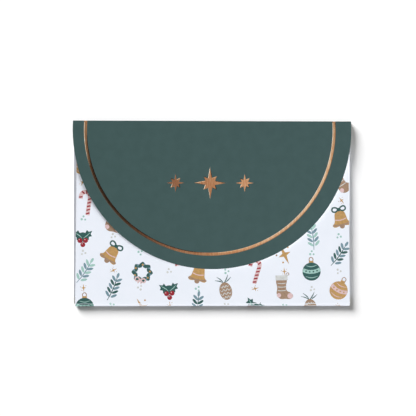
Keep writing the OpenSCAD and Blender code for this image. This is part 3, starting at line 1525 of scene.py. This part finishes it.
@dataclass
class TopFold:
    """The green top fold: a crease strip from the back panel up the narrow wall, and one to the flap.

    Each strip runs round its crease with a rounded outside and a small fillet inside; the card bends
    there when the flap opens, and the strips are left on no body. The foil line runs a little way down over
    it.
    """

    plan: Plan
    finishes: Finishes
    line: FoilLine
    foil_low: float = 1.2
    bead_r: float = 0.2
    fillet: float = 0.1
    bend_steps: int = 6
    seam_z: float = 2.75

    def _strip(self, name: str, top: float, level_half: float) -> bpy.types.Object:
        """Fold a strip of board up from level to upright.

        Args:
            name: What to call it.
            top: Height at which it ends.
            level_half: Its half width where it meets its panel.

        Returns:
            The strip, with its crease at the bottom.
        """
        plan, finishes = self.plan, self.finishes
        half, start = plan.spine_x, plan.strip_y
        inner_y = plan.top_y - plan.board
        fillet_y = inner_y - self.fillet
        strip = flat_plane(name, (-half, start), (half, self._crease_y), 0)
        dress(strip, finishes.green_print, finishes.inside, finishes.core, finishes.foil)
        with editing(strip):
            self._turn_up(self._crease_y, 0, self.bead_r, top)
            pick_all()
            paint(Side.PRINT)
            # The printed skin is out of the way while the inner one is folded in it.
            bpy.ops.mesh.hide(unselected=False)
            middle = (0, (start + fillet_y) / 2, plan.board)
            bpy.ops.mesh.primitive_plane_add(size=1, location=middle)
            grow((2 * half, fillet_y - start, 1), middle)
            self._turn_up(fillet_y, plan.board, self.fillet, top)
            pick(Domain.FACES, lambda p: p.z >= plan.board - NEAR and p.y < inner_y + NEAR)
            paint(Side.INSIDE)
            bpy.ops.mesh.reveal(select=False)
            # The only open edges are the rims of the two skins, which the cut edge joins.
            bpy.ops.mesh.select_mode(type=Domain.EDGES.value)
            bpy.ops.mesh.select_all(action="DESELECT")
            bpy.ops.mesh.select_non_manifold()
            bpy.context.edit_object.active_material_index = Side.CUT.value
            bpy.ops.mesh.bridge_edge_loops()
            paint(Side.CUT)
            pick_all()
            bpy.ops.mesh.normals_make_consistent(inside=False)
            pick(Domain.POINTS, lambda p: p.y < start + NEAR)
            grow((level_half / half, 1, 1), (0, start, 0))
        return strip

    @property
    def _crease_y(self) -> float:
        """Where the rounded outside of the creases begins."""
        return self.plan.top_y - self.bead_r

    def _turn_up(self, edge_y: float, level: float, radius: float, top: float) -> None:
        """Spin a level surface's far edge up about a line above it, then draw it up.

        Args:
            edge_y: Where the edge is.
            level: Height of the surface.
            radius: Radius of the bend.
            top: Height at which it ends.
        """
        pick(Domain.EDGES, lambda p: abs(p.y - edge_y) < NEAR and abs(p.z - level) < NEAR)
        bpy.ops.mesh.spin(
            steps=self.bend_steps,
            angle=-math.pi / 2,
            center=(0, edge_y, level + radius),
            axis=(1, 0, 0),
        )
        slide(z=top - level - radius)

    def _stamp(self, strip: bpy.types.Object, low: float) -> None:
        """Cut the two strokes of foil into the outside of a strip.

        Args:
            strip: The strip.
            low: Height above which it has foil.
        """
        plan, half = self.plan, self.line.width / 2
        reach = math.sqrt(self.line.radius**2 - (self._crease_y - plan.arc_y) ** 2)
        middles = (self.line.x - reach, self.line.x + reach)
        skin_y = plan.top_y - plan.board / 2
        skin_z = plan.flap_top - self.bead_r / 2

        def under_foil(p: Vector) -> bool:
            """Whether a face of the strip's outside lies in a stroke."""
            return any(abs(p.x - m) < half for m in middles) and p.z > low and (p.y > skin_y or p.z > skin_z)

        with editing(strip):
            for middle in middles:
                for side in (-1, 1):
                    slice_at((middle + side * half, 0, 0), (1, 0, 0))
            slice_at((0, 0, low), (0, 0, 1))
            pick(Domain.FACES, under_foil)
            paint(Side.FOIL)

    def build(self) -> tuple[bpy.types.Object, bpy.types.Object]:
        """Build the wall with its lower crease, and the crease of the flap.

        Returns:
            The two finished pieces.
        """
        plan = self.plan
        wall = self._strip("spine_wall", self.seam_z, plan.side_x)
        self._stamp(wall, self.foil_low)
        flap_crease = self._strip("flap_crease", plan.flap_top - self.seam_z, plan.flap_half)
        with editing(flap_crease):
            pick_all()
            grow((1, 1, -1), (0, 0, plan.flap_top / 2))
            bpy.ops.mesh.normals_make_consistent(inside=False)
        self._stamp(flap_crease, self.seam_z + NEAR)
        for strip in (wall, flap_crease):
            finish_piece(strip, "")
        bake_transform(wall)
        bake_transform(flap_crease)
        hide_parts("top_spine", "spine_foil")
        return wall, flap_crease


@dataclass
class Flap:
    """The round green flap, with the seats that the foil is pressed into.

    Closed, its two sides stand a little off the pocket below the fold, as folded card does.
    Sizes are in millimetres. The seats are press deep, and the line's widens from seat_half each
    side at its foot to seat_top at the card's face. The foil's edges rise by foil_rise up the
    shoulders of its seat. The line's are flat out to foil_flat of its half width, and then rise
    through foil_bend.
    """

    plan: Plan
    finishes: Finishes
    line: FoilLine
    stars: Sequence[Star]
    spring: float = 0.1
    spring_end: float = 0.75
    edge_steps: int = 240
    press: float = 0.1
    seat_half: float = 0.4
    seat_top: float = 0.665
    line_past: float = 0.2
    star_shoulder: float = 0.2
    star_points: int = 16
    star_short: float = 0.58
    star_waist: float = 0.34
    star_slack: float = 1.055
    star_past: float = 0.02
    star_block: float = 0.1
    film: float = 0.008
    films_up: float = 1.5
    foil_rise: float = 0.085
    foil_flat: float = 0.58
    foil_bend: Point = (0.66, 0.012)
    lattice: float = 6.0

    @property
    def _foil_z(self) -> float:
        """Height of the foil's upper face, which lies a trace off its seat."""
        return self.plan.flap_top - self.press + self.films_up * self.film

    def lift(self, x: float, y: float) -> float:
        """How far the flap stands up off its level at a place, in millimetres.

        Args:
            x: Place across.
            y: Place up.

        Returns:
            The rise, which is nought along the fold, the middle and the tip.
        """
        plan = self.plan
        down = (plan.strip_y - y) / (plan.strip_y - (plan.arc_y - plan.flap_r))
        if not 0 < down < self.spring_end:
            return 0.0
        return self.spring * (x / plan.flap_r) ** 2 * math.sin(math.pi * down / self.spring_end) ** 2

    def _bow(self, piece: bpy.types.Object) -> None:
        """Bend a piece that lies on the flap with it."""
        for corner in piece.data.vertices:
            corner.co.z += self.lift(corner.co.x, corner.co.y)

    def _line_cutter(self) -> bpy.types.Object:
        """Turn the ring that presses the foil line's seat.

        Returns:
            The cutter, wider at its top than at its foot.
        """
        plan = self.plan
        flare = (self.seat_top - self.seat_half) / self.press
        high_half = self.seat_half + flare * (self.press + self.line_past)
        low, high = plan.flap_top - self.press, plan.flap_top + self.line_past
        edge_x = self.line.x + self.line.radius
        bpy.ops.mesh.primitive_plane_add(
            size=1,
            rotation=(math.pi / 2, 0, 0),
            location=(edge_x, plan.arc_y, (low + high) / 2),
        )
        cutter = bpy.context.object
        cutter.scale = (2 * high_half, high - low, 1)
        freeze(cutter, "line_cutter")
        with editing(cutter):
            pick(Domain.POINTS, lambda p: p.z < low + NEAR)
            grow((self.seat_half / high_half, 1, 1), (edge_x, plan.arc_y, low))
            pick_all()
            bpy.ops.mesh.delete(type="ONLY_FACE")
            pick_all()
            bpy.ops.mesh.spin(
                steps=self.edge_steps,
                angle=math.tau,
                center=(self.line.x, plan.arc_y, 0),
                axis=(0, 0, 1),
            )
            pick_all()
            bpy.ops.mesh.remove_doubles(threshold=NEAR)
            bpy.ops.mesh.normals_make_consistent(inside=False)
        return cutter

    def _star_outline(self, name: str, form: Star, reach: float, height: float) -> bpy.types.Object:
        """Shape a circle into a star with four long and four short points.

        Args:
            name: What to call it.
            form: The star that it is for.
            reach: Length of its long points here.
            height: Its Z.

        Returns:
            The star, one level face.
        """
        middle = Vector((*form.centre, height))
        bpy.ops.mesh.primitive_circle_add(
            vertices=self.star_points, radius=reach, fill_type="NGON", location=middle
        )
        star = freeze(bpy.context.object, name)

        def step_of(p: Vector) -> int:
            """Which step of its quarter turn a corner is on: 0 is a long point, and 2 a short one."""
            turn = math.degrees(math.atan2(p.x - form.centre[0], p.y - form.centre[1]))
            return round(turn * self.star_points / 360) % 4

        with editing(star):
            pick(Domain.POINTS, lambda p: step_of(p) == 2)
            grow((self.star_short, self.star_short, 1), middle)
            pick(Domain.POINTS, lambda p: step_of(p) % 2 == 1)
            grow((self.star_waist, self.star_waist, 1), middle)
        return star

    def _star_cutter(self, form: Star) -> bpy.types.Object:
        """Make the block that presses a star's seat, wider at its top than at its foot.

        Args:
            form: The star that it is for.

        Returns:
            The cutter.
        """
        lip = self.plan.flap_top + self.star_past
        cutter = self._star_outline("star_cutter", form, form.reach * self.star_slack, lip)
        with editing(cutter):
            pick_all()
            slide(z=self.star_block)
            pick_all()
            bpy.ops.mesh.normals_make_consistent(inside=False)
            pick(Domain.FACES, lambda p: p.z < lip + NEAR)
            depth = self.press + self.star_past
            bpy.ops.mesh.inset(thickness=self.star_shoulder * depth / self.foil_rise, depth=depth)
        return cutter

    def panel(self) -> bpy.types.Object:
        """Cut the round flap, press the seats and bow it.

        Returns:
            The finished piece.
        """
        plan = self.plan
        bpy.ops.mesh.primitive_cylinder_add(
            vertices=self.edge_steps,
            radius=plan.flap_r,
            depth=plan.board,
            location=(0, plan.arc_y, (plan.flap_low + plan.flap_top) / 2),
        )
        panel = freeze(bpy.context.object, "flap_panel")
        dress(panel, self.finishes.green_print, self.finishes.inside, self.finishes.core)
        with editing(panel):
            slice_at((0, plan.strip_y, 0), (0, 1, 0), clear=True, fill=True)
            pick_facing(lambda normal: normal.z < -UPRIGHT)
            paint(Side.INSIDE)
            pick_facing(lambda normal: abs(normal.z) < UPRIGHT)
            paint(Side.CUT)
        carve(panel, self._line_cutter())
        for form in self.stars:
            carve(panel, self._star_cutter(form))
        # Evenly spaced cuts let the panel bow smoothly.
        with editing(panel):
            for x in self._lines(-plan.flap_r, plan.flap_r):
                slice_at((x, 0, 0), (1, 0, 0))
            for y in self._lines(plan.arc_y - plan.flap_r, plan.strip_y):
                slice_at((0, y, 0), (0, 1, 0))
        self._bow(panel)
        finish_piece(panel, "flap", smooth=4)
        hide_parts("flap")
        return panel

    def _lines(self, low: float, high: float) -> list[float]:
        """Places of evenly spaced cuts between two limits, about a lattice apart."""
        count = round((high - low) / self.lattice)
        return [low + (high - low) * i / count for i in range(1, count)]

    def foil_line(self) -> bpy.types.Object:
        """Lay the foil line in its seat: a strip with its edges drawn up the seat's shoulders.

        Returns:
            The finished piece.
        """
        plan, half = self.plan, self.line.width / 2
        outward = ((self.foil_flat, 0), self.foil_bend, (1, self.foil_rise))
        section = [*((-share, rise) for share, rise in reversed(outward)), *outward]
        (inmost, first_rise), *_ = section
        bpy.ops.mesh.primitive_circle_add(
            vertices=self.edge_steps,
            radius=self.line.radius + inmost * half,
            location=(self.line.x, plan.arc_y, self._foil_z + first_rise),
        )
        line = freeze(bpy.context.object, "foil_line_film")
        dress(line, self.finishes.foil)
        with editing(line):
            pick_all()
            for (share, rise), (last_share, last_rise) in zip(section[1:], section):
                slide(z=rise - last_rise)
                wide = (self.line.radius + share * half) / (self.line.radius + last_share * half)
                grow((wide, wide, 1), (self.line.x, plan.arc_y, self._foil_z))
            slice_at((0, plan.strip_y, 0), (0, 1, 0), clear=True)
            face_up()
        modify(line, "SOLIDIFY", thickness=self.film, offset=-1)
        self._bow(line)
        finish_piece(line, "flap", smooth=8)
        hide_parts("foil_line")
        return line

    def foil_star(self, form: Star) -> bpy.types.Object:
        """Lay a foil star in its seat.

        Args:
            form: The star's node, middle and reach.

        Returns:
            The finished piece.
        """
        node = form.node
        star = self._star_outline(f"{node}_film", form, form.reach, self._foil_z + self.foil_rise)
        dress(star, self.finishes.foil)
        with editing(star):
            face_up()
            bpy.ops.mesh.select_mode(type=Domain.FACES.value)
            pick_all()
            bpy.ops.mesh.inset(thickness=self.star_shoulder, depth=-self.foil_rise)
            slice_at((*form.centre, 0), (1, 0, 0))
            slice_at((*form.centre, 0), (0, 1, 0))
        modify(star, "SOLIDIFY", thickness=self.film, offset=-1)
        self._bow(star)
        finish_piece(star, "flap", smooth=10)
        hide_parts(node)
        return star


@dataclass
class ClosureDot:
    """The clear removable dot that holds the flap's tip down: a thin pad with a rounded rim.

    Its free face is flat for a way in from the rim and then dished a trace. Sizes are in
    millimetres.
    """

    finishes: Finishes
    corners: int = 72
    rim: float = 0.08
    rim_steps: int = 3
    level: float = 0.99
    border: float = 1.2
    dish_slope: float = 0.6
    dish: float = 0.02

    def build(self) -> bpy.types.Object:
        """Build the dot in the place of its node.

        Returns:
            The finished piece.
        """
        low, high = box_mm("closure_dot")
        bpy.ops.mesh.primitive_cylinder_add(
            vertices=self.corners,
            radius=(high.x - low.x) / 2,
            depth=high.z - low.z,
            location=(low + high) / 2,
        )
        dot = freeze(bpy.context.object, "closure_pad")
        dress(dot, self.finishes.glue)
        with editing(dot):
            pick(Domain.EDGES, lambda p: p.z < low.z + NEAR)
            bpy.ops.mesh.bevel(offset=self.rim, segments=self.rim_steps)
            pick_facing(lambda normal: normal.z < -self.level)
            bpy.ops.mesh.inset(thickness=self.border, depth=0)
            bpy.ops.mesh.inset(thickness=self.dish_slope, depth=-self.dish)
        finish_piece(dot, "flap")
        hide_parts("closure_dot")
        return dot


@dataclass(frozen=True)
class Lamp:
    """A distant soft lamp.

    Its level is the share of full white that it gives a level white sheet, and its spread is in
    degrees: the wider, the softer its shadows.
    """

    name: str
    towards: tuple[float, float, float]
    level: float
    spread: float
    floor_only: bool = False

    def place(self, floor: bpy.types.Object) -> None:
        """Put the lamp in the studio.

        Args:
            floor: The floor, which is all that the lamp lights or the one thing that it doesn't.
        """
        bpy.ops.object.light_add(type="SUN", location=(0, 0, 1))
        lamp = bpy.context.object
        lamp.name = self.name
        towards = Vector(self.towards).normalized()
        lamp.rotation_euler = towards.to_track_quat("-Z", "Y").to_euler()
        lamp.data.energy = self.level * math.pi / -towards.z
        lamp.data.angle = math.radians(self.spread)
        lit = bpy.data.collections.new(f"lit_by_{self.name}")
        lit.objects.link(floor)
        lamp.light_linking.receiver_collection = lit
        if not self.floor_only:
            lit.collection_objects[0].light_linking.link_state = "EXCLUDE"


@dataclass(frozen=True)
class GlowPanel:
    """A level glowing panel of one colour that hangs over the holder, in metres: a painted reflection."""

    name: str
    low: Point
    high: Point
    tone: str
    height: float = 0.69
    level: float = 2.0


@dataclass
class Studio:
    """White floor, soft lamps, cards of painted reflection, and the camera above the holder.

    The room is in metres and the camera's sizes are in millimetres. The cards glow but are no
    lamps: they light nothing and are seen only in mirror reflections, as painted reflection. The
    mirror card is dark over the left of the holder and bright over its right, by the stops of
    mirror_tones across mirror_across, and it turns to one grey beyond mirror_far. The bright panel
    is a painted reflection that the left shoulders of the foil catch as painted highlights.
    """

    plan: Plan
    ambient: float = 0.26
    floor_reach: float = 2.0
    floor_height: float = -0.0001
    floor_seen: str = "#f6f6f6"
    floor_light: str = "#c4c4c4"
    lamps: tuple[Lamp, ...] = (
        Lamp("floor_lamp", (1.1, -1.4, -1.0), level=0.88, spread=33, floor_only=True),
        Lamp("side_lamp", (-1.0, 0.22, -0.52), level=0.46, spread=36),
        Lamp("top_lamp", (-0.1, 0.3, -1.0), level=0.27, spread=60),
    )
    # Glowing panels seen only in mirrors: painted reflections, a bright one that paints highlights and a dim
    # one that paints shade.
    panels: tuple[GlowPanel, ...] = (
        GlowPanel("bright_panel", (0.32, -1.2), (1.5, 0.16), "#b5daff"),
        GlowPanel("shade_panel", (0.14, 0.16), (1.5, 1.0), "#3f4d59"),
    )
    # The mirror card: a painted reflection, glowing only for mirror rays, dark at left and bright at right.
    mirror_low: Point = (-5.0, -0.7)
    mirror_high: Point = (0.5, 0.9)
    mirror_height: float = 0.7
    mirror_level: float = 1.25
    mirror_across: Point = (-0.05, 0.15)
    mirror_tones: tuple[tuple[float, str], ...] = (
        (0.02, "#181619"),
        (0.1, "#524d50"),
        (0.28, "#9b9395"),
        (0.5, "#bfb5a8"),
        (0.65, "#d4dde7"),
        (0.85, "#ddeffa"),
    )
    mirror_far: Point = (0.045, 0.085)
    mirror_far_tone: str = "#a2a29e"
    camera_distance: float = 600.0
    camera_tilt: float = 2.3
    camera_roll: float = 0.07
    camera_target: Point = (-1.82, 2.33)
    frame_width: float = 170.45

    def build(self) -> None:
        """Set up everything that isn't the holder."""
        floor = self._floor()
        for lamp in self.lamps:
            lamp.place(floor)
        self._world()
        self._mirror_card()
        for panel in self.panels:
            self._glow_panel(panel)
        self._camera()
        bpy.context.scene.view_settings.view_transform = "Standard"

    def _seen(self, tree: Tree) -> bpy.types.NodeSocket:
        """Tell the rays that see a thing, straight, mirrored or through glass, from those that light it.

        Args:
            tree: The tree that asks.

        Returns:
            A socket with 1 for a ray that sees, or else 0.
        """
        rays = add_node(tree, "LightPath").outputs
        seen = rays["Is Camera Ray"]
        for kind in ("Is Glossy Ray", "Is Transmission Ray"):
            seen = add_node(tree, "Math", {0: seen, 1: rays[kind]}, operation="MAXIMUM").outputs[0]
        return seen

    def _floor(self) -> bpy.types.Object:
        """Lay the white floor, which looks white to the camera and gives the holder less light back.

        Returns:
            The floor's object.
        """
        reach = self.floor_reach
        floor = flat_plane("floor", (-reach, -reach), (reach, reach), self.floor_height)
        # Matt white paper: the camera sees it white, with the holder's shadow on it.
        material, tree = new_material("white_paper_floor")
        tones = {
            SHARE: self._seen(tree),
            LOW_COLOUR: linear(self.floor_light),
            HIGH_COLOUR: linear(self.floor_seen),
        }
        white = add_node(tree, "Mix", tones, data_type="RGBA").outputs[MIXED_COLOUR]
        paper = add_node(tree, "BsdfDiffuse", {"Color": white})
        add_node(tree, "OutputMaterial", {"Surface": paper.outputs[0]})
        dress(floor, material)
        floor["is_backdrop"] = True
        return floor

    def _world(self) -> None:
        """Fill the room with even light, and show it white to the camera and in mirrors."""
        world = bpy.data.worlds.new("studio_room")
        bpy.context.scene.world = world
        world.use_nodes = True
        tree = world.node_tree
        tree.nodes.clear()
        white = linear("#ffffff")
        fill = add_node(tree, "Background", {"Color": white, "Strength": self.ambient}).outputs[0]
        seen = add_node(tree, "Background", {"Color": white, "Strength": 1.0}).outputs[0]
        both = add_node(tree, "MixShader", {0: self._seen(tree), 1: fill, 2: seen})
        add_node(tree, "OutputWorld", {"Surface": both.outputs[0]})

    def _mirror_card(self) -> None:
        """Hang the glowing card that the foil mirrors, a painted reflection with its tones across it."""
        card = flat_plane("mirror_card", self.mirror_low, self.mirror_high, self.mirror_height)
        # Painted reflection: a glowing card, seen only in mirrors, gives the foil its run from near
        # black at the left to a cool white.
        material, tree = new_material("painted_reflection_card")
        place = add_node(tree, "TexCoord").outputs["Object"]
        axes = add_node(tree, "SeparateXYZ", {0: place}).outputs
        low, high = self.mirror_across
        across = add_node(tree, "MapRange", {"Value": axes["X"], "From Min": low, "From Max": high})
        ramp = add_node(tree, "ValToRGB", {0: across.outputs[0]})
        stops = ramp.color_ramp.elements
        for position, tone in self.mirror_tones:
            stops.new(position).color = linear(tone)
        # The two stops that every new ramp has lie outside these.
        stops.remove(stops[-1])
        stops.remove(stops[0])
        low, high = self.mirror_far
        far = add_node(tree, "MapRange", {"Value": axes["Y"], "From Min": low, "From Max": high})
        tones = {
            SHARE: far.outputs[0],
            LOW_COLOUR: ramp.outputs[0],
            HIGH_COLOUR: linear(self.mirror_far_tone),
        }
        tone = add_node(tree, "Mix", tones, data_type="RGBA").outputs[MIXED_COLOUR]
        self._only_mirrored(card, material, tone, self.mirror_level)

    def _glow_panel(self, panel: GlowPanel) -> None:
        """Hang one of the glowing panels that the foil mirrors, as painted reflection.

        Args:
            panel: The panel.
        """
        card = flat_plane(panel.name, panel.low, panel.high, panel.height)
        # Painted reflection: a glowing panel of one even tone, seen only in mirrors, which gives the
        # foil's shoulders their edge lines.
        material, _ = new_material(f"{panel.name}_glow")
        self._only_mirrored(card, material, linear(panel.tone), panel.level)

    def _only_mirrored(
        self, card: bpy.types.Object, material: bpy.types.Material, tone: object, level: float
    ) -> None:
        """Make a card of the studio glow, and keep it out of all but mirror reflections.

        Args:
            card: The card.
            material: Its material.
            tone: Its colour, or the socket of it.
            level: How strongly it glows.
        """
        tree = material.node_tree
        glow = add_node(tree, "Emission", {"Color": tone, "Strength": level})
        add_node(tree, "OutputMaterial", {"Surface": glow.outputs[0]})
        dress(card, material)
        card.visible_camera = card.visible_diffuse = card.visible_shadow = card.visible_transmission = False
        card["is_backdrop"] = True

    def _camera(self) -> None:
        """Hang the camera over the holder, a little to the left and turned a trace."""
        tilt, roll = math.radians(self.camera_tilt), math.radians(self.camera_roll)
        back = Vector((-math.sin(tilt), 0, math.cos(tilt)))
        right = Vector((math.cos(tilt), 0, math.sin(tilt)))
        up = back.cross(right)
        turn = Matrix((right, up, back)).transposed() @ Matrix.Rotation(roll, 3, "Z")
        place = Vector((*self.camera_target, self.plan.flap_top)) + back * self.camera_distance
        bpy.ops.object.camera_add()
        camera = bpy.context.object
        camera.name = "camera"
        camera.matrix_world = Matrix.Translation(place * MM) @ turn.to_4x4()
        camera.data.lens = camera.data.sensor_width * self.camera_distance / self.frame_width
        bpy.context.scene.camera = camera


def dress_nodes(finishes: Finishes) -> None:
    """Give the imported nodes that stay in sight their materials.

    Args:
        finishes: Where the materials are.
    """
    for node, material in (
        ("carrier_card", finishes.carrier_board),
        ("left_glue_strip", finishes.glue),
        ("right_glue_strip", finishes.glue),
    ):
        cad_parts[node].data.materials.clear()
        dress(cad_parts[node], material)
        LOG.info("%s: packed node, dressed", node)


def main() -> None:
    """Build the holder and its studio, in order, each piece saying when it is done."""
    logging.basicConfig(level=logging.INFO, format="%(message)s")
    plan = Plan.read()
    finishes = Finishes.make()
    PrintedSheet(plan, finishes).build()
    print_work = WinterPrint(plan, finishes)
    print_work.draw()
    print_work.front()
    print_work.back()
    print_work.clean_up()
    line = FoilLine.read()
    TopFold(plan, finishes, line).build()
    stars = [Star.read(f"foil_star_{place}") for place in ("left", "centre", "right")]
    flap = Flap(plan, finishes, line, stars)
    flap.panel()
    flap.foil_line()
    for star in stars:
        flap.foil_star(star)
    ClosureDot(finishes).build()
    dress_nodes(finishes)
    Studio(plan).build()


def write_sizes() -> None:
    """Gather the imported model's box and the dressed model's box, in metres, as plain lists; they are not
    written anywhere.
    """
    boxes = {"cad": CAD_BOX, "visual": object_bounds()}
    plain = {name: [list(corner) for corner in box] for name, box in boxes.items()}


if __name__ == "__main__":
    main()
    write_sizes()
